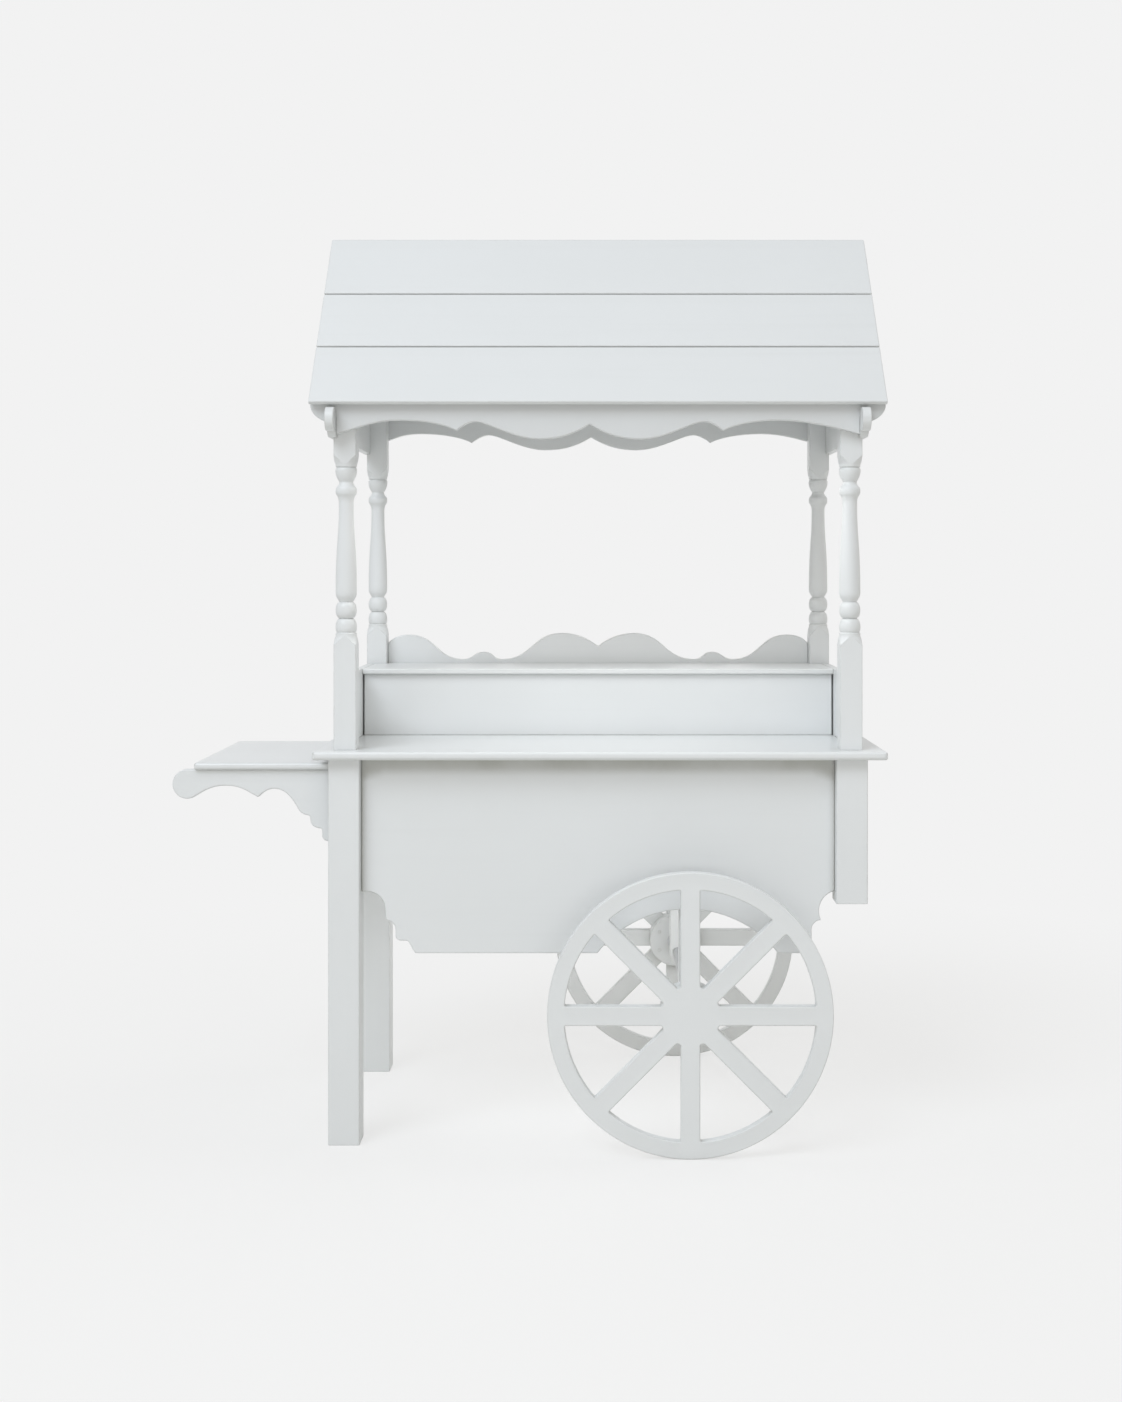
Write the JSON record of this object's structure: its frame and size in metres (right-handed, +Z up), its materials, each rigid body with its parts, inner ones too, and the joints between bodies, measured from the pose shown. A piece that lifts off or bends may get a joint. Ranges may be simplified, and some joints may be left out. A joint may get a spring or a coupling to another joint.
{
  "type": "candy cart",
  "caption": "Painted wooden serving cart with a gabled roof on turned posts, a raised tier with a scalloped back, a side shelf on handle brackets and spoked wheels on a fixed axle.",
  "frame": {"origin": "on the ground under the middle of the outer box", "axes": "+X along the cart from the side shelf to the wheels, +Y from the serving front to the back, +Z up"},
  "size_m": [1.5134, 0.772, 1.9515],
  "materials": {
    "paint": "satin white paint",
    "inner_paint": "thin white paint",
    "steel": "zinc plated"
  },
  "bodies": {
    "cart": {"leg_front_left": "paint", "leg_rear_left": "paint", "leg_front_right": "paint", "leg_rear_right": "paint", "front_panel": "paint", "rear_panel": "paint", "left_end_panel": "paint", "right_end_panel": "paint", "floor_board": "inner_paint", "counter_top": "paint", "post_front_left": "paint", "post_front_right": "paint", "post_rear_left": "paint", "post_rear_right": "paint", "left_side_board": "paint", "right_side_board": "paint", "tier_front": "paint", "tier_top": "paint", "back_board": "paint", "front_valance": "paint", "rear_valance": "paint", "left_gable": "paint", "right_gable": "paint", "roof_front_low": "paint", "roof_front_mid": "paint", "roof_front_high": "paint", "roof_rear_low": "paint", "roof_rear_mid": "paint", "roof_rear_high": "paint", "roof_battens": "inner_paint", "ridge_beam": "inner_paint", "side_shelf": "paint", "bracket_front": "paint", "bracket_rear": "paint", "hanger_front": "inner_paint", "hanger_rear": "inner_paint", "axle": "steel", "axle_sleeves": "steel", "axle_washers": "steel", "lock_nuts": "steel"},
    "front_wheel": {"front_wheel": "paint", "front_hub_block": "paint"},
    "rear_wheel": {"rear_wheel": "paint", "rear_hub_block": "paint"}
  },
  "joints": [
    {"name": "front_wheel_spin", "type": "hinge", "parent": "cart", "child": "front_wheel", "pos_m": [0.34175, -0.375, 0.293], "axis": [0, 1, 0], "continuous": true},
    {"name": "rear_wheel_spin", "type": "hinge", "parent": "cart", "child": "rear_wheel", "pos_m": [0.34175, 0.375, 0.293], "axis": [0, 1, 0], "continuous": true}
  ]
}
